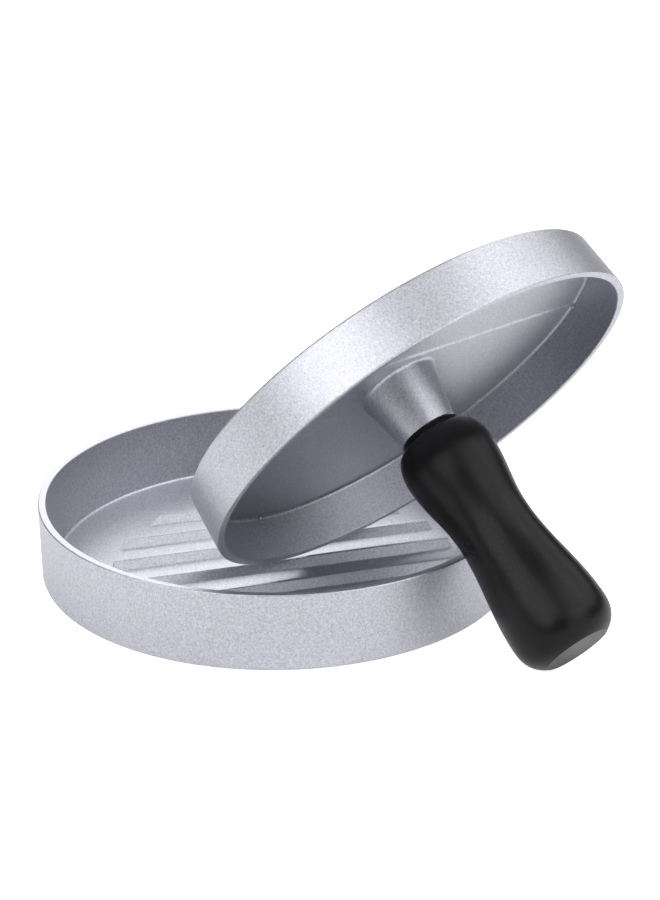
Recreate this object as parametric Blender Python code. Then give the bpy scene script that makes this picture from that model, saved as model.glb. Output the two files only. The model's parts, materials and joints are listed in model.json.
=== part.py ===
"""Patty press: a cast aluminium pan and a cast press plate with a screwed-on grip.

Frame: metres, +Z up, origin at the centre of the pan's underside.
The press leans in the pan with its grip end down on the table.
"""
import math

import bmesh
import bpy
from mathutils import Matrix, Vector

MM = 0.001

# ---- pan ----------------------------------------------------------------
PAN_R = 60.0 * MM            # outer radius at the rim
PAN_H = 20.0 * MM            # overall height
PAN_DRAFT = 0.4 * MM         # how much narrower the outside is at the foot
PAN_RIM_W = 2.0 * MM         # width of the flat rim
PAN_FLOOR = 2.4 * MM         # floor thickness
PAN_INNER_DRAFT = 1.4 * MM   # how much narrower the inside is at the floor
PAN_FOOT_ROUND = 1.6 * MM
PAN_INNER_ROUND = 0.9 * MM
RIM_ROUND = 0.35 * MM

# ---- ridges on the pan floor and on the press face ------------------------
RIDGE_COUNT = 7
RIDGE_PITCH_SHARE = 0.202    # ridge pitch as a share of the pan radius
RIDGE_H = 1.9 * MM
RIDGE_TOP_W = 0.6 * MM
RIDGE_SLOPE = 2.5 * MM       # run of each sloped side
RIDGE_END_SLOPE = 0.4 * MM   # run of the steep ends
RIDGE_REACH_SHARE = 0.717    # radius the ridge tops end on, of the pan radius
RIDGE_TURN = math.radians(15.8)
RIDGE_SHIFT_SHARE = -0.101   # middle ridge beside the pan's centre, of the pan radius
RIDGE_SINK = 0.5 * MM        # how far a ridge runs into the plate it stands on

# ---- press plate ----------------------------------------------------------
PRESS_CLEAR = 0.75 * MM      # radial gap between press and pan at the rims
PRESS_DEPTH = 14.0 * MM      # rim plane to press face, ridges not counted
PRESS_DRAFT = 1.05 * MM
PRESS_WALL = 2.0 * MM
PRESS_INNER_DRAFT = 0.25 * MM
PRESS_FLOOR = 2.15 * MM
PRESS_FACE_ROUND = 0.8 * MM
PRESS_INNER_ROUND = 0.8 * MM
BOSS_BASE_R = 10.0 * MM
BOSS_END_R = 7.16 * MM
BOSS_REACH = 2.5 * MM        # how far the boss stands beyond the rim plane
BOSS_ROOT_ROUND = 1.0 * MM
BOSS_END_ROUND = 0.45 * MM
FLOOR_RIB_OFFSET = 11.9 * MM
FLOOR_RIB_H = 0.35 * MM
FLOOR_RIB_WIDE = 5.2 * MM
FLOOR_RIB_NARROW = 2.0 * MM

# ---- stud, bush and grip -----------------------------------------------------
FIT_GAP = 0.3 * MM           # gap left between touching pieces
THREAD_PITCH = 1.25 * MM
STUD_R = 4.0 * MM            # thread crest
THREAD_DEPTH = 0.7 * MM
STUD_IN_BOSS = 12.0 * MM
STUD_TURNS = 8               # turns of thread held by the bush
BUSH_R = 5.8 * MM
BUSH_END_WALL = 3.2 * MM
BUSH_TIP_ROOM = 1.2 * MM     # room left past the stud's tip
BUSH_GROOVE_W = 2.0 * MM
BUSH_GROOVE_D = 0.5 * MM
BUSH_GROOVES_AT = (0.33, 0.67)   # groove middles as shares of the bush's length
GRIP_NECK_R = 7.6 * MM
GRIP_NECK_L = 1.2 * MM
GRIP_SHOULDER_R = 11.75 * MM
GRIP_SHOULDER_L = 8.0 * MM   # neck to the widest part of the shoulder
GRIP_WAIST_R = 9.65 * MM
GRIP_WAIST_L = 18.0 * MM     # shoulder to waist
GRIP_BULGE_R = 12.55 * MM
GRIP_BULGE_L = 27.5 * MM     # waist to bulge
GRIP_END_L = 8.0 * MM        # bulge to the flat end
GRIP_DOME_L = 9.48 * MM      # half length of the end's full curve
GRIP_DOME_POWER = 2.5        # 2 is an ellipse, more is squarer

# ---- how the press leans in the pan --------------------------------------------
HEADING = math.radians(-48.4)    # direction the grip points, seen from above
SIDE_SHIFT_SHARE = 0.135         # press axis beside the pan's centre, of the pan radius
RIDGE_STAND = 0.2 * MM           # lowest rim point above the ridge tops
TABLE_STAND = 0.3 * MM           # grip end above the table
WALL_STAND = 2.3 * MM            # press rim off the pan's inner wall
RIM_STAND = 0.4 * MM             # least gap between grip and pan rim

# ---- fineness of the mesh and of the search for the resting lean -----------------------
PAN_SEGMENTS = 80
GRIP_SEGMENTS = 40
BUSH_SEGMENTS = 32
STUD_SEGMENTS = 16
THREAD_STEPS = 4             # rings per turn of thread
SHOULDER_STEPS = 6
WAIST_STEPS = 7
BULGE_STEPS = 8
END_STEPS = 6
MERGE_DIST = 0.02 * MM
LEAN_LEAST = math.radians(5.0)
LEAN_MOST = math.radians(80.0)
LEAN_STEP = math.radians(0.25)
HALVINGS = 50
WALL_SAMPLES = 90
DROP_SAMPLES = 40

# ---- sizes that follow from the ones above ----------------------------------------
PAN_INNER_R = PAN_R - PAN_RIM_W
PRESS_R = PAN_INNER_R - PRESS_CLEAR
RIDGE_PITCH = RIDGE_PITCH_SHARE * PAN_R
RIDGE_REACH = RIDGE_REACH_SHARE * PAN_R
RIDGE_SHIFT = RIDGE_SHIFT_SHARE * PAN_R
SIDE_SHIFT = SIDE_SHIFT_SHARE * PAN_R
RIDGE_TOP = PAN_FLOOR + RIDGE_H
PRESS_FLOOR_Z = -(PRESS_DEPTH - PRESS_FLOOR)
BORE_R = STUD_R + FIT_GAP
STUD_CORE_R = STUD_R - THREAD_DEPTH
NECK_Z = BOSS_REACH + FIT_GAP
SHOULDER_Z = NECK_Z + GRIP_NECK_L + GRIP_SHOULDER_L
WAIST_Z = SHOULDER_Z + GRIP_WAIST_L
BULGE_Z = WAIST_Z + GRIP_BULGE_L
GRIP_END_Z = BULGE_Z + GRIP_END_L
STUD_TIP_Z = NECK_Z + STUD_TURNS * THREAD_PITCH
BUSH_BORE_Z = STUD_TIP_Z + BUSH_TIP_ROOM
BUSH_END_Z = BUSH_BORE_Z + BUSH_END_WALL
BUSH_L = BUSH_END_Z - NECK_Z


def clear_scene():
    for item in list(bpy.data.objects):
        bpy.data.objects.remove(item, do_unlink=True)


def make_material(name, colour, roughness, metallic):
    mat = bpy.data.materials.new(name)
    mat.use_nodes = True
    shader = mat.node_tree.nodes["Principled BSDF"]
    shader.inputs["Base Color"].default_value = (*colour, 1.0)
    shader.inputs["Roughness"].default_value = roughness
    shader.inputs["Metallic"].default_value = metallic
    mat.diffuse_color = (*colour, 1.0)
    return mat


def new_object(name, bm, mat=None, parent=None):
    bmesh.ops.recalc_face_normals(bm, faces=bm.faces)
    mesh = bpy.data.meshes.new(name)
    bm.to_mesh(mesh)
    bm.free()
    obj = bpy.data.objects.new(name, mesh)
    bpy.context.scene.collection.objects.link(obj)
    if mat is not None:
        mesh.materials.append(mat)
    obj.parent = parent
    return obj


def rounded(corners, steps=3):
    """Profile points (r, z) from corners (r, z, radius), each corner rounded."""
    points = []
    last = len(corners) - 1
    for i, (r, z, radius) in enumerate(corners):
        here = Vector((r, z))
        if radius <= 0.0 or i in (0, last):
            points.append((r, z))
            continue
        before = (Vector(corners[i - 1][:2]) - here).normalized()
        after = (Vector(corners[i + 1][:2]) - here).normalized()
        half = before.angle(after) / 2.0
        reach = radius / math.tan(half)
        centre = here + (before + after).normalized() * (radius / math.sin(half))
        start = here + before * reach - centre
        end = here + after * reach - centre
        sweep = start.angle(end)
        for k in range(steps + 1):
            t = k / steps
            spoke = (start * math.sin((1.0 - t) * sweep) + end * math.sin(t * sweep)) / math.sin(sweep)
            points.append((centre.x + spoke.x, centre.y + spoke.y))
    return points


def revolve(points, segments):
    """Closed body of revolution; the first and last rings are capped flat."""
    bm = bmesh.new()
    rings = []
    for r, z in points:
        ring = []
        for k in range(segments):
            a = 2.0 * math.pi * k / segments
            ring.append(bm.verts.new((r * math.cos(a), r * math.sin(a), z)))
        rings.append(ring)
    for lower, upper in zip(rings, rings[1:]):
        for k in range(segments):
            n = (k + 1) % segments
            bm.faces.new((lower[k], lower[n], upper[n], upper[k]))
    bm.faces.new(rings[0])
    bm.faces.new(rings[-1])
    return bm


def prism(bottom, top):
    """Closed body between two outlines with the same number of corners."""
    bm = bmesh.new()
    low = [bm.verts.new(p) for p in bottom]
    high = [bm.verts.new(p) for p in top]
    count = len(low)
    for k in range(count):
        n = (k + 1) % count
        bm.faces.new((low[k], low[n], high[n], high[k]))
    bm.faces.new(low)
    bm.faces.new(high)
    return bm


def apply_boolean(target, other, operation):
    modifier = target.modifiers.new("combine", "BOOLEAN")
    modifier.operation = operation
    modifier.solver = "EXACT"
    modifier.object = other
    graph = bpy.context.evaluated_depsgraph_get()
    result = bpy.data.meshes.new_from_object(target.evaluated_get(graph))
    target.modifiers.clear()
    target.data = result
    bpy.data.objects.remove(other, do_unlink=True)


def finish(obj, angle=30.0):
    """Merge stray points and shade the round faces smooth."""
    bm = bmesh.new()
    bm.from_mesh(obj.data)
    bmesh.ops.remove_doubles(bm, verts=bm.verts, dist=MERGE_DIST)
    bmesh.ops.recalc_face_normals(bm, faces=bm.faces)
    bm.to_mesh(obj.data)
    bm.free()
    obj.data.shade_smooth()
    obj.data.set_sharp_from_angle(angle=math.radians(angle))


def ridge_bar(offset, turn, base_z, rise):
    """One long ridge of trapezoid section; rise is +1 upward, -1 downward."""
    half_top = RIDGE_TOP_W / 2.0
    grow = RIDGE_SLOPE * (RIDGE_H + RIDGE_SINK) / RIDGE_H
    turned = Matrix.Rotation(turn, 4, "Z")

    def outline(half, z):
        low = offset - half
        high = offset + half
        corners = [(-PAN_R, low), (PAN_R, low), (PAN_R, high), (-PAN_R, high)]
        return [turned @ Vector((x, y, z)) for x, y in corners]

    root = outline(half_top + grow, base_z - rise * RIDGE_SINK)
    crest = outline(half_top, base_z + rise * RIDGE_H)
    return prism(root, crest)


def ridge_block(name, turn, shift, base_z, rise):
    """All the ridges of one face, their steep ends lying on one circle."""
    grow = RIDGE_END_SLOPE * (RIDGE_H + RIDGE_SINK) / RIDGE_H
    ends = [
        (RIDGE_REACH + grow, base_z - rise * RIDGE_SINK),
        (RIDGE_REACH, base_z + rise * RIDGE_H),
    ]
    middle = Matrix.Rotation(turn, 4, "Z") @ Vector((0.0, shift, 0.0))
    block = None
    for i in range(RIDGE_COUNT):
        offset = shift + (i - (RIDGE_COUNT - 1) / 2.0) * RIDGE_PITCH
        bar = new_object(name + "_bar", ridge_bar(offset, turn, base_z, rise))
        cone = new_object(name + "_ends", revolve(ends, PAN_SEGMENTS))
        cone.location = middle
        apply_boolean(bar, cone, "INTERSECT")
        if block is None:
            block = bar
        else:
            apply_boolean(block, bar, "UNION")
    return block


def build_pan(mat):
    foot_r = PAN_R - PAN_DRAFT
    corners = [
        (foot_r - 2.0 * PAN_FOOT_ROUND, 0.0, 0.0),
        (foot_r, 0.0, PAN_FOOT_ROUND),
        (PAN_R, PAN_H, RIM_ROUND),
        (PAN_INNER_R, PAN_H, RIM_ROUND),
        (PAN_INNER_R - PAN_INNER_DRAFT, PAN_FLOOR, PAN_INNER_ROUND),
        (PAN_INNER_R - PAN_INNER_DRAFT - 2.0 * PAN_INNER_ROUND, PAN_FLOOR, 0.0),
    ]
    pan = new_object("base_pan", revolve(rounded(corners), PAN_SEGMENTS), mat)
    apply_boolean(pan, ridge_block("pan_ridges", RIDGE_TURN, RIDGE_SHIFT, PAN_FLOOR, 1.0), "UNION")
    finish(pan)
    return pan


def floor_rib():
    """Low tapering rib that crosses the plate's inner floor beside the boss."""
    clear = PRESS_R - PRESS_WALL - PRESS_INNER_ROUND - FIT_GAP
    reach = math.sqrt(clear ** 2 - FLOOR_RIB_OFFSET ** 2)

    def outline(shrink, z):
        wide = FLOOR_RIB_WIDE / 2.0 - shrink
        narrow = FLOOR_RIB_NARROW / 2.0 - shrink
        far = reach - shrink
        y = FLOOR_RIB_OFFSET
        return [(-far, y - wide, z), (far, y - narrow, z), (far, y + narrow, z), (-far, y + wide, z)]

    root = outline(-FLOOR_RIB_H, PRESS_FLOOR_Z - FLOOR_RIB_H)
    crest = outline(FLOOR_RIB_H, PRESS_FLOOR_Z + FLOOR_RIB_H)
    return prism(root, crest)


def build_press_plate(mat, parent):
    face_r = PRESS_R - PRESS_DRAFT
    inner_r = PRESS_R - PRESS_WALL
    root_r = inner_r - PRESS_INNER_DRAFT
    corners = [
        (face_r - 2.0 * PRESS_FACE_ROUND, -PRESS_DEPTH, 0.0),
        (face_r, -PRESS_DEPTH, PRESS_FACE_ROUND),
        (PRESS_R, 0.0, RIM_ROUND),
        (inner_r, 0.0, RIM_ROUND),
        (root_r, PRESS_FLOOR_Z, PRESS_INNER_ROUND),
        (BOSS_BASE_R, PRESS_FLOOR_Z, BOSS_ROOT_ROUND),
        (BOSS_END_R, BOSS_REACH, BOSS_END_ROUND),
        (BORE_R, BOSS_REACH, 0.0),
        (BORE_R, NECK_Z - STUD_IN_BOSS - FIT_GAP, 0.0),
    ]
    plate = new_object("press_plate", revolve(rounded(corners), PAN_SEGMENTS), mat)
    apply_boolean(plate, ridge_block("press_ridges", 0.0, 0.0, -PRESS_DEPTH, -1.0), "UNION")
    apply_boolean(plate, new_object("press_rib", floor_rib()), "UNION")
    finish(plate)
    plate.parent = parent
    return plate


def thread_radius(z, angle):
    """Radius of a right-hand trapezoid thread: a quarter crest, a quarter root, sloped between."""
    phase = (z / THREAD_PITCH - angle / (2.0 * math.pi)) % 1.0
    share = min(1.0, max(0.0, 2.0 * abs(2.0 * phase - 1.0) - 0.5))
    return STUD_CORE_R + THREAD_DEPTH * share


def build_stud(mat, parent):
    """Steel stud, threaded at both ends, with a plain middle at the joint."""
    foot = NECK_Z - STUD_IN_BOSS
    rows = [(foot, False)]

    def add_thread(start, end):
        count = int(round((end - start) / THREAD_PITCH * THREAD_STEPS))
        for k in range(count + 1):
            rows.append((start + (end - start) * k / count, 0 < k < count))

    add_thread(foot + THREAD_PITCH / 2.0, NECK_Z - THREAD_PITCH)
    add_thread(NECK_Z, STUD_TIP_Z - THREAD_PITCH / 2.0)
    rows.append((STUD_TIP_Z, False))
    bm = bmesh.new()
    rings = []
    for row, (z, cut) in enumerate(rows):
        ring = []
        for k in range(STUD_SEGMENTS):
            a = 2.0 * math.pi * k / STUD_SEGMENTS
            r = thread_radius(z, a) if cut else STUD_CORE_R
            if row in (0, len(rows) - 1):
                r = STUD_CORE_R - THREAD_DEPTH / 2.0
            ring.append(bm.verts.new((r * math.cos(a), r * math.sin(a), z)))
        rings.append(ring)
    for lower, upper in zip(rings, rings[1:]):
        for k in range(STUD_SEGMENTS):
            n = (k + 1) % STUD_SEGMENTS
            bm.faces.new((lower[k], lower[n], upper[n], upper[k]))
    bm.faces.new(rings[0])
    bm.faces.new(rings[-1])
    stud = new_object("handle_stud", bm, mat)
    finish(stud)
    stud.parent = parent
    return stud


def build_bush(mat, parent):
    """Brass bush moulded into the grip, grooved so the plastic holds it."""
    groove_r = BUSH_R - BUSH_GROOVE_D
    edge = BUSH_GROOVE_D
    corners = [
        (BORE_R, BUSH_BORE_Z, 0.0),
        (BORE_R, NECK_Z + edge, 0.0),
        (BORE_R + edge, NECK_Z, 0.0),
        (BUSH_R - edge / 2.0, NECK_Z, 0.0),
        (BUSH_R, NECK_Z + edge / 2.0, 0.0),
    ]
    for share in BUSH_GROOVES_AT:
        mid = NECK_Z + share * BUSH_L
        half = BUSH_GROOVE_W / 2.0
        corners += [
            (BUSH_R, mid - half, 0.0),
            (groove_r, mid - half + edge, 0.0),
            (groove_r, mid + half - edge, 0.0),
            (BUSH_R, mid + half, 0.0),
        ]
    corners += [(BUSH_R, BUSH_END_Z - edge, 0.0), (BUSH_R - edge, BUSH_END_Z, 0.0)]
    bush = new_object("handle_bush", revolve(rounded(corners), BUSH_SEGMENTS), mat)
    finish(bush)
    bush.parent = parent
    return bush


def ease(t):
    return 0.5 - 0.5 * math.cos(math.pi * t)


def grip_radius(z):
    """Outside radius of the grip at a height along its axis."""
    start = NECK_Z + GRIP_NECK_L
    if z <= start:
        return GRIP_NECK_R
    if z <= SHOULDER_Z:
        back = (SHOULDER_Z - z) / GRIP_SHOULDER_L
        return GRIP_NECK_R + (GRIP_SHOULDER_R - GRIP_NECK_R) * math.sqrt(max(0.0, 1.0 - back * back))
    if z <= WAIST_Z:
        return GRIP_SHOULDER_R + (GRIP_WAIST_R - GRIP_SHOULDER_R) * ease((z - SHOULDER_Z) / GRIP_WAIST_L)
    if z <= BULGE_Z:
        return GRIP_WAIST_R + (GRIP_BULGE_R - GRIP_WAIST_R) * ease((z - WAIST_Z) / GRIP_BULGE_L)
    ahead = (z - BULGE_Z) / GRIP_DOME_L
    return GRIP_BULGE_R * max(0.0, 1.0 - ahead ** GRIP_DOME_POWER) ** (1.0 / GRIP_DOME_POWER)


def grip_stations():
    """Heights along the grip, closer together where it curves tightly."""
    start = NECK_Z + GRIP_NECK_L
    quarter = math.pi / 2.0
    heights = [NECK_Z, start]
    for k in range(1, SHOULDER_STEPS + 1):
        heights.append(start + GRIP_SHOULDER_L * (1.0 - math.cos(quarter * k / SHOULDER_STEPS)))
    for k in range(1, WAIST_STEPS + 1):
        heights.append(SHOULDER_Z + GRIP_WAIST_L * k / WAIST_STEPS)
    for k in range(1, BULGE_STEPS + 1):
        heights.append(WAIST_Z + GRIP_BULGE_L * k / BULGE_STEPS)
    for k in range(1, END_STEPS + 1):
        heights.append(BULGE_Z + GRIP_END_L * math.sin(quarter * k / END_STEPS))
    return heights


def build_grip(mat, parent):
    """Moulded plastic grip with a blind socket round the bush."""
    socket_r = BUSH_R + FIT_GAP
    groove_r = socket_r - BUSH_GROOVE_D
    edge = BUSH_GROOVE_D
    points = [(socket_r, BUSH_END_Z + FIT_GAP)]
    for share in reversed(BUSH_GROOVES_AT):
        mid = NECK_Z + share * BUSH_L
        half = BUSH_GROOVE_W / 2.0 - FIT_GAP
        points += [
            (socket_r, mid + half),
            (groove_r, mid + half - edge),
            (groove_r, mid - half + edge),
            (socket_r, mid - half),
        ]
    points.append((socket_r, NECK_Z))
    points += [(grip_radius(z), z) for z in grip_stations()]
    grip = new_object("handle_grip", revolve(points, GRIP_SEGMENTS), mat)
    finish(grip, 22.0)
    grip.parent = parent
    return grip


def grip_drop(lean):
    """How far the grip reaches below the centre of the press rim."""
    samples = [BULGE_Z + GRIP_END_L * k / DROP_SAMPLES for k in range(DROP_SAMPLES + 1)]
    return max(z * math.sin(lean) + grip_radius(z) * math.cos(lean) for z in samples)


def centre_height(lean):
    return RIDGE_TOP + RIDGE_STAND + PRESS_R * math.cos(lean)


def wall_gap(lean, ahead):
    """Least gap between the press rim and the pan's inner wall."""
    drop = PRESS_R * math.cos(lean)
    leaves_pan = math.acos((centre_height(lean) - PAN_H - RIM_ROUND) / drop)
    least = PAN_INNER_R
    for k in range(WALL_SAMPLES + 1):
        a = leaves_pan * k / WALL_SAMPLES
        forward = ahead - PRESS_R * math.sin(lean) * math.cos(a)
        side = SIDE_SHIFT + PRESS_R * math.sin(a)
        least = min(least, PAN_INNER_R - math.hypot(forward, side))
    return least


def centre_ahead(lean):
    """How far the press centre lies toward the grip when the rim nears the wall."""
    low = PRESS_R * math.sin(lean)
    high = low + PAN_R
    for _ in range(HALVINGS):
        middle = (low + high) / 2.0
        if wall_gap(lean, middle) > WALL_STAND:
            low = middle
        else:
            high = middle
    return low


def rim_gap(lean):
    """Gap between the grip's waist and the pan's rim below it."""
    edge = math.sqrt(PAN_R ** 2 - SIDE_SHIFT ** 2)
    beyond = edge - centre_ahead(lean)
    above = centre_height(lean) - PAN_H
    along = beyond * math.cos(lean) + above * math.sin(lean)
    return above * math.cos(lean) - beyond * math.sin(lean) - grip_radius(along)


def resting_lean():
    """Lean at which the grip end meets the table, or its waist nears the rim."""
    low = LEAN_LEAST
    high = LEAN_MOST
    for _ in range(HALVINGS):
        middle = (low + high) / 2.0
        if centre_height(middle) - grip_drop(middle) > TABLE_STAND:
            low = middle
        else:
            high = middle
    lean = low
    while rim_gap(lean) < RIM_STAND and lean > LEAN_LEAST:
        lean -= LEAN_STEP
    return lean


def press_frame():
    """Empty at the centre of the press rim; its +Z runs out along the grip."""
    lean = resting_lean()
    ahead = centre_ahead(lean)
    forward = Vector((math.cos(HEADING), math.sin(HEADING), 0.0))
    side = Vector((-math.sin(HEADING), math.cos(HEADING), 0.0))
    axis = forward * math.cos(lean) - Vector((0.0, 0.0, math.sin(lean)))
    place = forward * ahead + side * SIDE_SHIFT + Vector((0.0, 0.0, centre_height(lean)))
    across = axis.cross(side)
    turn = Matrix((side, across, axis)).transposed().to_4x4()
    frame = bpy.data.objects.new("press_frame", None)
    bpy.context.scene.collection.objects.link(frame)
    frame.matrix_world = Matrix.Translation(place) @ turn
    return frame


def main():
    clear_scene()
    cast = make_material("cast_aluminium", (0.74, 0.74, 0.77), 0.42, 1.0)
    plastic = make_material("black_plastic", (0.018, 0.018, 0.020), 0.38, 0.0)
    steel = make_material("stud_steel", (0.62, 0.62, 0.63), 0.3, 1.0)
    brass = make_material("bush_brass", (0.72, 0.52, 0.24), 0.32, 1.0)
    build_pan(cast)
    frame = press_frame()
    build_press_plate(cast, frame)
    build_stud(steel, frame)
    build_bush(brass, frame)
    build_grip(plastic, frame)


main()
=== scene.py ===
"""Looks for the patty press: a cast aluminium pan, its press plate and a black moulded grip."""
import json
import math

import bmesh
import bpy
from mathutils import Matrix, Vector


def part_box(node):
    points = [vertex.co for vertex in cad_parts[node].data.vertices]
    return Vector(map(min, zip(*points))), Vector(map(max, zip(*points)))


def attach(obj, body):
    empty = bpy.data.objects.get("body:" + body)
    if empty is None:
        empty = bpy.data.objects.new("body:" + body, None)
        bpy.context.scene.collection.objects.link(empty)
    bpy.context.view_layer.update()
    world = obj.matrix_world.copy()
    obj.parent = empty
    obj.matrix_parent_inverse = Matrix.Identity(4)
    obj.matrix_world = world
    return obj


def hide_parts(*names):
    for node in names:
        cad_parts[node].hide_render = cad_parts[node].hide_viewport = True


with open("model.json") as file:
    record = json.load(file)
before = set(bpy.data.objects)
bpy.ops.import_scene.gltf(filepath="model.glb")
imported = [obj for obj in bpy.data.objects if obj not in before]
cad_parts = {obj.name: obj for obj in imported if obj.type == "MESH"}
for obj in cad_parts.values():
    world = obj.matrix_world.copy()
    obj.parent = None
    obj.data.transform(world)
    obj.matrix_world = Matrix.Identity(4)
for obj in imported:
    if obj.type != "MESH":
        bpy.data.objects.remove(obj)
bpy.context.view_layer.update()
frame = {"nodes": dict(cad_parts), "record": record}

MM = 0.001

# ---- sizes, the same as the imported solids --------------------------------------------
PAN_LOW, PAN_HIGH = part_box("base_pan")
PAN_R = 60.0 * MM
PAN_H = PAN_HIGH[2] - PAN_LOW[2]
PAN_DRAFT = 0.4 * MM
PAN_RIM_W = 2.0 * MM
PAN_FLOOR = 2.4 * MM
PAN_INNER_DRAFT = 1.4 * MM
PAN_FOOT_ROUND = 1.6 * MM
PAN_INNER_ROUND = 0.9 * MM
RIM_ROUND = 0.35 * MM
PAN_INNER_R = PAN_R - PAN_RIM_W

RIDGE_COUNT = 7
RIDGE_PITCH = 0.202 * PAN_R
RIDGE_H = 1.9 * MM
RIDGE_TOP_W = 0.6 * MM
RIDGE_SLOPE = 2.5 * MM
RIDGE_END_SLOPE = 0.4 * MM
RIDGE_REACH = 0.717 * PAN_R
RIDGE_SHIFT = -0.101 * PAN_R
RIDGE_TURN = math.radians(15.8)
RIDGE_SINK = 0.5 * MM
RIDGE_SOFT = 0.12            # share of a slope taken by the rounding at its top and foot

PRESS_R = PAN_INNER_R - 0.75 * MM
PRESS_DEPTH = 14.0 * MM
PRESS_DRAFT = 1.05 * MM
PRESS_WALL = 2.0 * MM
PRESS_INNER_DRAFT = 0.25 * MM
PRESS_FLOOR = 2.15 * MM
PRESS_FACE_ROUND = 0.8 * MM
PRESS_INNER_ROUND = 0.8 * MM
PRESS_FLOOR_Z = -(PRESS_DEPTH - PRESS_FLOOR)
BOSS_BASE_R = 10.0 * MM
BOSS_END_R = 7.16 * MM
BOSS_REACH = 2.5 * MM
BOSS_ROOT_ROUND = 1.0 * MM
BOSS_END_ROUND = 0.45 * MM
BORE_R = 4.3 * MM
BORE_FOOT = -9.5 * MM
FLOOR_RIB_OFFSET = 11.9 * MM
FLOOR_RIB_H = 0.35 * MM
FLOOR_RIB_WIDE = 5.2 * MM
FLOOR_RIB_NARROW = 2.0 * MM
PIP_R = 0.5 * MM
PIP_TURNS = (math.radians(12.1), math.radians(253.6))

FIT_GAP = 0.3 * MM
NECK_Z = BOSS_REACH + FIT_GAP
NECK_R = 7.6 * MM
NECK_L = 1.2 * MM
SHOULDER_R = 11.75 * MM
SHOULDER_L = 8.0 * MM
WAIST_R = 9.65 * MM
WAIST_L = 18.0 * MM
BULGE_R = 12.55 * MM
BULGE_L = 27.5 * MM
END_L = 8.0 * MM
DOME_L = 9.48 * MM
DOME_POWER = 2.5
SOCKET_R = 6.1 * MM
SOCKET_END_Z = 17.5 * MM
SHOULDER_Z = NECK_Z + NECK_L + SHOULDER_L
WAIST_Z = SHOULDER_Z + WAIST_L
BULGE_Z = WAIST_Z + BULGE_L

# ---- fineness of the meshes ----------------------------------------------------------
CORNER_STEPS = 7
CAST_SEGMENTS = 240
GRIP_SEGMENTS = 128
SLOPE_STEPS = 14
RIDGE_STEPS = 24
RIDGE_BLEND = 0.1            # how softly a ridge's side runs into its end
RIB_STEPS = 40
RIB_CROSS_STEPS = 10
RIB_SIDE = 2.5               # a rib's half width, in widths of its sloped side
RIB_SOFT = 0.4
SHOULDER_STEPS = 20
WAIST_STEPS = 18
BULGE_STEPS = 24
END_STEPS = 20
PIP_SUBDIVISIONS = 3
CAST_SHARP_DEGREES = 25.0
GRIP_SHARP_DEGREES = 24.0

# ---- camera --------------------------------------------------------------------------
CAMERA_AT = (0.0, -623.2 * MM, 289.3 * MM)
CAMERA_DOWN = math.radians(22.49)
CAMERA_YAW = math.radians(-1.2)
CAMERA_ROLL = math.radians(0.37)
CAMERA_LENS = 108.36         # mm, as is the sensor's width
CAMERA_SENSOR = 36.0

# ---- looks and light -----------------------------------------------------------------
NOISE_LOW = 0.35             # most of a noise's values lie between these two
NOISE_HIGH = 0.65
GRAIN_SCALE = 3000.0         # cells of cast grain per metre
COARSE_GRAIN_SCALE = 1800.0
GRAIN_DEPTH = 0.09 * MM
GRAIN_STRENGTH = 0.4
GRAIN_ROUGHNESS = 0.05       # how much the grain changes the metal's roughness
METAL_DARK = (0.38, 0.381, 0.42)
METAL_LIGHT = (0.64, 0.641, 0.71)
METAL_ROUGHNESS = 0.45
STUD_DARK = (0.55, 0.55, 0.57)
STUD_LIGHT = (0.68, 0.68, 0.70)
STUD_ROUGHNESS = 0.3
BUSH_DARK = (0.66, 0.47, 0.20)
BUSH_LIGHT = (0.78, 0.58, 0.28)
BUSH_ROUGHNESS = 0.32
TURNED_SCALE = 1800.0
TURNED_PATCH_SCALE = 200.0
TURNED_DEPTH = 0.03 * MM
TURNED_STRENGTH = 0.2
PLASTIC_DARK = (0.003, 0.003, 0.0035)
PLASTIC_LIGHT = (0.006, 0.006, 0.007)
PLASTIC_ROUGHNESS = (0.29, 0.35)
PLASTIC_SPECULAR = 0.18
PEBBLE_SCALE = 1500.0
PEBBLE_DEPTH = 0.03 * MM
PEBBLE_STRENGTH = 0.25
PEBBLE_ROUGHNESS = 0.03
PATCH_SCALE = 60.0           # the grip's broad patches per metre
FLOOR_SIZE = 3.0             # metres, from the middle to a side
FLOOR_DROP = 0.3 * MM        # keeps the floor clear of the pan's foot
FLOOR_DARK = (0.82, 0.82, 0.82)
FLOOR_LIGHT = (0.84, 0.84, 0.84)
FLOOR_ROUGHNESS = 0.9
FLOOR_PATCH_SCALE = 30.0
WHITE = (1.0, 1.0, 1.0, 1.0)
FLOOR_GLOW = 0.30            # light that the floor and the world cast on the object
WORLD_LEVEL = 0.04
BACKDROP_LEVEL = 0.85        # how pale floor and background look where no lamp reaches
LIGHT_DISTANCE = 1.3         # metres, as is the side of a lamp
LIGHT_SIZE = 1.1
SOFT_BOXES = (               # name, degrees round from +X, degrees up, watts
    ("front_left", 228.0, 38.0, 9.6),
    ("high_front", 290.0, 60.0, 2.6),
    ("front_right", 335.0, 50.0, 5.0),
    ("back_right", 22.0, 46.0, 5.6),
    ("back", 90.0, 30.0, 9.0),
    ("back_left", 165.0, 50.0, 1.6),
    ("low_left", 190.0, 22.0, 2.4),
    ("low_right", 315.0, 22.0, 5.2),
)


# ---- mesh helpers --------------------------------------------------------------------
def new_object(name, bm):
    bmesh.ops.recalc_face_normals(bm, faces=bm.faces)
    mesh = bpy.data.meshes.new(name)
    bm.to_mesh(mesh)
    bm.free()
    obj = bpy.data.objects.new(name, mesh)
    bpy.context.scene.collection.objects.link(obj)
    return obj


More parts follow.
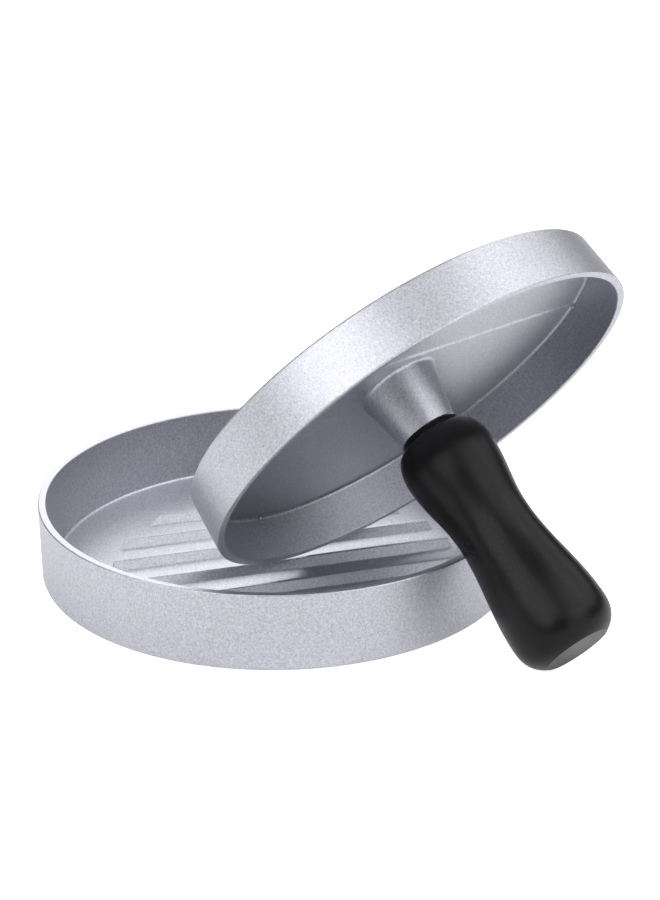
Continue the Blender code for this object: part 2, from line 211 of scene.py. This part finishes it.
def shade(obj, degrees):
    """Smooth shading in which the large flat faces keep their own direction."""
    obj.data.shade_smooth()
    obj.data.set_sharp_from_angle(angle=math.radians(degrees))
    weighted = obj.modifiers.new("weighted", "WEIGHTED_NORMAL")
    weighted.mode = "FACE_AREA"
    weighted.weight = 100
    weighted.keep_sharp = True


def rounded(corners, steps):
    """Profile points (r, z) from corners (r, z, radius), each corner rounded."""
    points = []
    last = len(corners) - 1
    for i, (r, z, radius) in enumerate(corners):
        here = Vector((r, z))
        if radius <= 0.0 or i in (0, last):
            points.append((r, z))
            continue
        before = (Vector(corners[i - 1][:2]) - here).normalized()
        after = (Vector(corners[i + 1][:2]) - here).normalized()
        half = before.angle(after) / 2.0
        centre = here + (before + after).normalized() * (radius / math.sin(half))
        start = here + before * (radius / math.tan(half)) - centre
        end = here + after * (radius / math.tan(half)) - centre
        sweep = start.angle(end)
        for k in range(steps + 1):
            t = k / steps
            spoke = (start * math.sin((1.0 - t) * sweep) + end * math.sin(t * sweep)) / math.sin(sweep)
            points.append((centre.x + spoke.x, centre.y + spoke.y))
    return points


def revolve(points, segments):
    """Closed body of revolution; the first and last rings are capped flat."""
    bm = bmesh.new()
    rings = []
    for r, z in points:
        angles = [2.0 * math.pi * k / segments for k in range(segments)]
        rings.append([bm.verts.new((r * math.cos(a), r * math.sin(a), z)) for a in angles])
    for lower, upper in zip(rings, rings[1:]):
        for k in range(segments):
            n = (k + 1) % segments
            bm.faces.new((lower[k], lower[n], upper[n], upper[k]))
    bm.faces.new(rings[0])
    bm.faces.new(rings[-1])
    return bm


def boolean(target, other, operation):
    modifier = target.modifiers.new("combine", "BOOLEAN")
    modifier.operation = operation
    modifier.solver = "EXACT"
    modifier.object = other
    graph = bpy.context.evaluated_depsgraph_get()
    result = bpy.data.meshes.new_from_object(target.evaluated_get(graph))
    target.modifiers.clear()
    target.data = result
    bpy.data.objects.remove(other, do_unlink=True)


def softened(t, soft):
    """A straight ramp from 0 to 1 whose two ends are rounded off."""
    if t <= 0.0:
        return 0.0
    if t >= 1.0:
        return 1.0
    rate = 1.0 / (1.0 - soft)
    if t < soft:
        return rate * t * t / (2.0 * soft)
    if t > 1.0 - soft:
        return 1.0 - rate * (1.0 - t) * (1.0 - t) / (2.0 * soft)
    return rate * (t - soft / 2.0)


def smooth_least(a, b, width):
    """The smaller of two numbers, blended where they are close."""
    h = max(0.0, min(1.0, 0.5 + 0.5 * (b - a) / width))
    return b * (1.0 - h) + a * h - width * h * (1.0 - h)


def ease(t):
    """Slow at both ends."""
    return 0.5 - 0.5 * math.cos(math.pi * t)


def slowing(t):
    """Fast at first and slow at the end."""
    return math.sin(math.pi / 2.0 * t)


def spread(inner, outer, count):
    """Numbers from inner to outer."""
    return [inner + (outer - inner) * k / count for k in range(count + 1)]


def ridge(offset, shift, turn, base_z, rise):
    """One cast ridge: sloped sides, steep ends on the common circle, soft edges."""
    half_top = RIDGE_TOP_W / 2.0
    half_foot = half_top + RIDGE_SLOPE
    foot_reach = RIDGE_REACH + RIDGE_END_SLOPE
    slope = [half_top + RIDGE_SLOPE * ease(k / SLOPE_STEPS) for k in range(SLOPE_STEPS + 1)]
    across = [-v for v in reversed(slope)] + [0.0] + slope
    inner = 1.0 - 4.0 * RIDGE_END_SLOPE / foot_reach
    end = [inner + (1.0 - inner) * slowing(k / SLOPE_STEPS) for k in range(SLOPE_STEPS + 1)]
    along = [-v for v in reversed(end)] + spread(-inner, inner, RIDGE_STEPS)[1:-1] + end
    turned = Matrix.Rotation(turn, 4, "Z")
    bm = bmesh.new()
    top = []
    bottom = []
    for share in along:
        row = []
        low_row = []
        for side in across:
            y = offset + side
            x = share * math.sqrt(foot_reach ** 2 - (y - shift) ** 2)
            beside = (half_foot - abs(side)) / RIDGE_SLOPE
            before_end = (foot_reach - math.hypot(x, y - shift)) / RIDGE_END_SLOPE
            ramp = smooth_least(beside, before_end, RIDGE_BLEND)
            height = RIDGE_H * softened(ramp, RIDGE_SOFT)
            row.append(bm.verts.new(turned @ Vector((x, y, base_z + rise * height))))
            low_row.append(bm.verts.new(turned @ Vector((x, y, base_z - rise * RIDGE_SINK))))
        top.append(row)
        bottom.append(low_row)
    rows = len(along)
    cols = len(across)
    for i in range(rows - 1):
        for j in range(cols - 1):
            bm.faces.new((top[i][j], top[i][j + 1], top[i + 1][j + 1], top[i + 1][j]))
            bm.faces.new((bottom[i][j], bottom[i + 1][j], bottom[i + 1][j + 1], bottom[i][j + 1]))
    for i in range(rows - 1):
        for j in (0, cols - 1):
            bm.faces.new((top[i][j], top[i + 1][j], bottom[i + 1][j], bottom[i][j]))
    for j in range(cols - 1):
        for i in (0, rows - 1):
            bm.faces.new((top[i][j], top[i][j + 1], bottom[i][j + 1], bottom[i][j]))
    return bm


def add_ridges(body, shift, turn, base_z, rise):
    for i in range(RIDGE_COUNT):
        offset = shift + (i - (RIDGE_COUNT - 1) / 2.0) * RIDGE_PITCH
        boolean(body, new_object("ridge", ridge(offset, shift, turn, base_z, rise)), "UNION")


# ---- pieces --------------------------------------------------------------------------
def build_pan():
    foot_r = PAN_R - PAN_DRAFT
    inner_foot = PAN_INNER_R - PAN_INNER_DRAFT
    corners = [
        (foot_r - 2.0 * PAN_FOOT_ROUND, 0.0, 0.0),
        (foot_r, 0.0, PAN_FOOT_ROUND),
        (PAN_R, PAN_H, RIM_ROUND),
        (PAN_INNER_R, PAN_H, RIM_ROUND),
        (inner_foot, PAN_FLOOR, PAN_INNER_ROUND),
        (inner_foot - 2.0 * PAN_INNER_ROUND, PAN_FLOOR, 0.0),
    ]
    pan = new_object("pan_body", revolve(rounded(corners, CORNER_STEPS), CAST_SEGMENTS))
    add_ridges(pan, RIDGE_SHIFT, RIDGE_TURN, PAN_FLOOR, 1.0)
    shade(pan, CAST_SHARP_DEGREES)
    return pan


def floor_rib():
    """Low rounded rib across the plate's inner floor, tapering to one end."""
    clear = PRESS_R - PRESS_WALL - PRESS_INNER_ROUND - FIT_GAP
    reach = math.sqrt(clear ** 2 - FLOOR_RIB_OFFSET ** 2)
    bm = bmesh.new()
    rows = []
    for i in range(RIB_STEPS + 1):
        x = -reach + 2.0 * reach * i / RIB_STEPS
        half = (FLOOR_RIB_WIDE + (FLOOR_RIB_NARROW - FLOOR_RIB_WIDE) * i / RIB_STEPS) / 2.0
        row = [bm.verts.new((x, FLOOR_RIB_OFFSET - half, PRESS_FLOOR_Z - FLOOR_RIB_H))]
        for j in range(RIB_CROSS_STEPS + 1):
            side = -1.0 + 2.0 * j / RIB_CROSS_STEPS
            height = FLOOR_RIB_H * softened((1.0 - abs(side)) * RIB_SIDE, RIB_SOFT)
            row.append(bm.verts.new((x, FLOOR_RIB_OFFSET + side * half, PRESS_FLOOR_Z + height)))
        row.append(bm.verts.new((x, FLOOR_RIB_OFFSET + half, PRESS_FLOOR_Z - FLOOR_RIB_H)))
        rows.append(row)
    size = len(rows[0])
    for lower, upper in zip(rows, rows[1:]):
        for j in range(size):
            n = (j + 1) % size
            bm.faces.new((lower[j], lower[n], upper[n], upper[j]))
    bm.faces.new(rows[0])
    bm.faces.new(rows[-1])
    return new_object("rib", bm)


def casting_pip(turn):
    """Small drop of metal left in the corner between the plate's floor and wall."""
    bm = bmesh.new()
    bmesh.ops.create_icosphere(bm, subdivisions=PIP_SUBDIVISIONS, radius=PIP_R)
    pip = new_object("pip", bm)
    out = PRESS_R - PRESS_WALL - PRESS_INNER_DRAFT - PIP_R
    pip.location = (out * math.cos(turn), out * math.sin(turn), PRESS_FLOOR_Z + PIP_R)
    return pip


def build_press():
    inner_r = PRESS_R - PRESS_WALL
    corners = [
        (PRESS_R - PRESS_DRAFT - 2.0 * PRESS_FACE_ROUND, -PRESS_DEPTH, 0.0),
        (PRESS_R - PRESS_DRAFT, -PRESS_DEPTH, PRESS_FACE_ROUND),
        (PRESS_R, 0.0, RIM_ROUND),
        (inner_r, 0.0, RIM_ROUND),
        (inner_r - PRESS_INNER_DRAFT, PRESS_FLOOR_Z, PRESS_INNER_ROUND),
        (BOSS_BASE_R, PRESS_FLOOR_Z, BOSS_ROOT_ROUND),
        (BOSS_END_R, BOSS_REACH, BOSS_END_ROUND),
        (BORE_R, BOSS_REACH, 0.0),
        (BORE_R, BORE_FOOT, 0.0),
    ]
    press = new_object("press_body", revolve(rounded(corners, CORNER_STEPS), CAST_SEGMENTS))
    add_ridges(press, 0.0, 0.0, -PRESS_DEPTH, -1.0)
    boolean(press, floor_rib(), "UNION")
    for turn in PIP_TURNS:
        boolean(press, casting_pip(turn), "UNION")
    shade(press, CAST_SHARP_DEGREES)
    return press


def grip_radius(z):
    """Outside radius of the grip at a height along its axis."""
    start = NECK_Z + NECK_L
    if z <= start:
        return NECK_R
    if z <= SHOULDER_Z:
        back = (SHOULDER_Z - z) / SHOULDER_L
        return NECK_R + (SHOULDER_R - NECK_R) * math.sqrt(max(0.0, 1.0 - back * back))
    if z <= WAIST_Z:
        return SHOULDER_R + (WAIST_R - SHOULDER_R) * ease((z - SHOULDER_Z) / WAIST_L)
    if z <= BULGE_Z:
        return WAIST_R + (BULGE_R - WAIST_R) * ease((z - WAIST_Z) / BULGE_L)
    ahead = (z - BULGE_Z) / DOME_L
    return BULGE_R * max(0.0, 1.0 - ahead ** DOME_POWER) ** (1.0 / DOME_POWER)


def build_grip():
    points = [(SOCKET_R, SOCKET_END_Z), (SOCKET_R, NECK_Z), (NECK_R, NECK_Z)]
    start = NECK_Z + NECK_L
    heights = [start]
    for k in range(1, SHOULDER_STEPS + 1):
        heights.append(start + SHOULDER_L * (1.0 - math.cos(math.pi / 2.0 * k / SHOULDER_STEPS)))
    heights += spread(SHOULDER_Z, WAIST_Z, WAIST_STEPS)[1:]
    heights += spread(WAIST_Z, BULGE_Z, BULGE_STEPS)[1:]
    heights += [BULGE_Z + END_L * slowing(k / END_STEPS) for k in range(1, END_STEPS + 1)]
    points += [(grip_radius(z), z) for z in heights]
    grip = new_object("grip_body", revolve(points, GRIP_SEGMENTS))
    shade(grip, GRIP_SHARP_DEGREES)
    return grip


def press_pose():
    """Place of the press rim's centre; its local +Z runs out along the grip."""
    joint = next(j for j in frame["record"]["behaviour"]["joints"] if j["name"] == "grip_unscrew")
    axis = Vector(joint["axis"]).normalized()
    side = Vector((-axis.y, axis.x, 0.0)).normalized()
    across = axis.cross(side)
    turn = Matrix((side, across, axis)).transposed().to_4x4()
    return Matrix.Translation(Vector(joint["pos_m"])) @ turn


# ---- materials -----------------------------------------------------------------------
class Nodes:
    """Short names for making and joining shader nodes."""

    def __init__(self, name):
        self.material = bpy.data.materials.new(name)
        self.material.use_nodes = True
        self.tree = self.material.node_tree
        self.shader = self.tree.nodes["Principled BSDF"]
        self.place = self.add("ShaderNodeTexCoord").outputs["Object"]

    def add(self, kind):
        return self.tree.nodes.new(kind)

    def join(self, source, target):
        self.tree.links.new(source, target)

    def noise(self, scale, detail=3.0, roughness=0.5):
        node = self.add("ShaderNodeTexNoise")
        node.inputs["Scale"].default_value = scale
        node.inputs["Detail"].default_value = detail
        node.inputs["Roughness"].default_value = roughness
        self.join(self.place, node.inputs["Vector"])
        return node.outputs["Fac"]

    def ramp(self, source, low, high):
        """Stretch the middle of a noise, where most of its values lie, to low and high."""
        node = self.add("ShaderNodeMapRange")
        node.inputs["From Min"].default_value = NOISE_LOW
        node.inputs["From Max"].default_value = NOISE_HIGH
        node.inputs["To Min"].default_value = low
        node.inputs["To Max"].default_value = high
        self.join(source, node.inputs["Value"])
        return node.outputs["Result"]

    def math(self, operation, a, b):
        node = self.add("ShaderNodeMath")
        node.operation = operation
        for socket, value in zip(node.inputs, (a, b)):
            if isinstance(value, (int, float)):
                socket.default_value = value
            else:
                self.join(value, socket)
        return node.outputs[0]

    def mix(self, factor, a, b):
        node = self.add("ShaderNodeMix")
        node.data_type = "RGBA"
        self.join(factor, node.inputs["Factor"])
        node.inputs["A"].default_value = (*a, 1.0)
        node.inputs["B"].default_value = (*b, 1.0)
        return node.outputs["Result"]

    def bump(self, height, strength, distance):
        node = self.add("ShaderNodeBump")
        node.inputs["Strength"].default_value = strength
        node.inputs["Distance"].default_value = distance
        self.join(height, node.inputs["Height"])
        return node.outputs["Normal"]


def cast_metal(name, dark, light, roughness):
    """Tumbled cast aluminium: cool silver with a fine sparkling grain."""
    n = Nodes(name)
    shader = n.shader
    shader.inputs["Metallic"].default_value = 1.0
    fine = n.noise(GRAIN_SCALE, 2.0, 0.6)
    coarse = n.noise(COARSE_GRAIN_SCALE, 2.0, 0.5)
    grain = n.math("ADD", n.math("MULTIPLY", fine, 0.55), n.math("MULTIPLY", coarse, 0.45))
    n.join(n.mix(n.ramp(grain, 0.0, 1.0), dark, light), shader.inputs["Base Color"])
    uneven = n.ramp(grain, roughness - GRAIN_ROUGHNESS, roughness + GRAIN_ROUGHNESS)
    n.join(uneven, shader.inputs["Roughness"])
    n.join(n.bump(grain, GRAIN_STRENGTH, GRAIN_DEPTH), shader.inputs["Normal"])
    return n.material


def moulded_plastic():
    """Black phenolic: satin, faintly pebbled, a little paler and duller in broad patches."""
    n = Nodes("black_plastic_look")
    shader = n.shader
    fine = n.noise(PEBBLE_SCALE, 2.0, 0.55)
    broad = n.noise(PATCH_SCALE)
    shader.inputs["Specular IOR Level"].default_value = PLASTIC_SPECULAR
    colour = n.mix(n.ramp(broad, 0.0, 1.0), PLASTIC_DARK, PLASTIC_LIGHT)
    n.join(colour, shader.inputs["Base Color"])
    pebbled = n.ramp(fine, -PEBBLE_ROUGHNESS, PEBBLE_ROUGHNESS)
    n.join(n.math("ADD", pebbled, n.ramp(broad, *PLASTIC_ROUGHNESS)), shader.inputs["Roughness"])
    n.join(n.bump(fine, PEBBLE_STRENGTH, PEBBLE_DEPTH), shader.inputs["Normal"])
    return n.material


def turned_metal(name, dark, light, roughness):
    """Turned metal of the stud and bush, which show as the grip is unscrewed."""
    n = Nodes(name)
    shader = n.shader
    shader.inputs["Metallic"].default_value = 1.0
    fine = n.noise(TURNED_SCALE, 2.0, 0.6)
    n.join(n.mix(n.ramp(fine, 0.0, 1.0), dark, light), shader.inputs["Base Color"])
    uneven = n.ramp(n.noise(TURNED_PATCH_SCALE), roughness - 0.05, roughness + 0.08)
    n.join(uneven, shader.inputs["Roughness"])
    n.join(n.bump(fine, TURNED_STRENGTH, TURNED_DEPTH), shader.inputs["Normal"])
    return n.material


def glow(tree, strength, cast, seen):
    """Give a backdrop one strength as light on the object and another as seen by a viewer."""
    ray = tree.nodes.new("ShaderNodeLightPath")
    level = tree.nodes.new("ShaderNodeMapRange")
    level.inputs["To Min"].default_value = cast
    level.inputs["To Max"].default_value = seen
    tree.links.new(ray.outputs["Is Camera Ray"], level.inputs["Value"])
    tree.links.new(level.outputs["Result"], strength)


def floor_material():
    n = Nodes("pale_floor")
    colour = n.mix(n.ramp(n.noise(FLOOR_PATCH_SCALE), 0.0, 1.0), FLOOR_DARK, FLOOR_LIGHT)
    n.join(colour, n.shader.inputs["Base Color"])
    n.shader.inputs["Roughness"].default_value = FLOOR_ROUGHNESS
    n.shader.inputs["Emission Color"].default_value = WHITE
    glow(n.tree, n.shader.inputs["Emission Strength"], FLOOR_GLOW, BACKDROP_LEVEL)
    return n.material


def give(obj, material):
    obj.data.materials.clear()
    obj.data.materials.append(material)


# ---- stage ---------------------------------------------------------------------------
def soft_box(name, around, up, watts):
    """Square lamp on a circle round the object, facing its centre."""
    light = bpy.data.lights.new(name, "AREA")
    light.size = LIGHT_SIZE
    light.energy = watts
    box = bpy.data.objects.new(name, light)
    bpy.context.scene.collection.objects.link(box)
    tip = Matrix.Rotation(math.radians(90.0 - up), 4, "Y")
    turn = Matrix.Rotation(math.radians(around), 4, "Z")
    box.matrix_world = turn @ tip @ Matrix.Translation((0.0, 0.0, LIGHT_DISTANCE))


def build_stage():
    bm = bmesh.new()
    bmesh.ops.create_grid(bm, x_segments=8, y_segments=8, size=FLOOR_SIZE)
    floor = new_object("floor", bm)
    floor.location.z = -FLOOR_DROP
    give(floor, floor_material())
    for name, around, up, watts in SOFT_BOXES:
        soft_box(name, around, up, watts)
    world = bpy.data.worlds.new("studio")
    world.use_nodes = True
    background = world.node_tree.nodes["Background"]
    background.inputs["Color"].default_value = WHITE
    glow(world.node_tree, background.inputs["Strength"], WORLD_LEVEL, BACKDROP_LEVEL)
    bpy.context.scene.world = world


def build_camera():
    data = bpy.data.cameras.new("camera")
    data.sensor_width = CAMERA_SENSOR
    data.lens = CAMERA_LENS
    camera = bpy.data.objects.new("camera", data)
    bpy.context.scene.collection.objects.link(camera)
    turn = Matrix.Rotation(CAMERA_YAW, 4, "Z") @ Matrix.Rotation(math.pi / 2.0 - CAMERA_DOWN, 4, "X")
    roll = Matrix.Rotation(-CAMERA_ROLL, 4, "Z")
    camera.matrix_world = Matrix.Translation(CAMERA_AT) @ turn @ roll
    bpy.context.scene.camera = camera


def dress(piece, material, node, body):
    """Give a detailed piece its look, and put it in place of a CAD node."""
    give(piece, material)
    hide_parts(node)
    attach(piece, body)


def main():
    bpy.context.scene.view_settings.view_transform = "Standard"
    pose = press_pose()
    pan_metal = cast_metal("pan_metal_look", METAL_DARK, METAL_LIGHT, METAL_ROUGHNESS)
    press_metal = cast_metal("press_metal_look", METAL_DARK, METAL_LIGHT, METAL_ROUGHNESS)
    pan = build_pan()
    dress(pan, pan_metal, "base_pan", "pan")
    press = build_press()
    press.data.transform(pose)
    dress(press, press_metal, "press_plate", "press")
    grip = build_grip()
    grip.data.transform(pose)
    dress(grip, moulded_plastic(), "handle_grip", "grip")
    stud_metal = turned_metal("stud_look", STUD_DARK, STUD_LIGHT, STUD_ROUGHNESS)
    bush_metal = turned_metal("bush_look", BUSH_DARK, BUSH_LIGHT, BUSH_ROUGHNESS)
    give(frame["nodes"]["handle_stud"], stud_metal)
    give(frame["nodes"]["handle_bush"], bush_metal)
    build_stage()
    build_camera()


main()
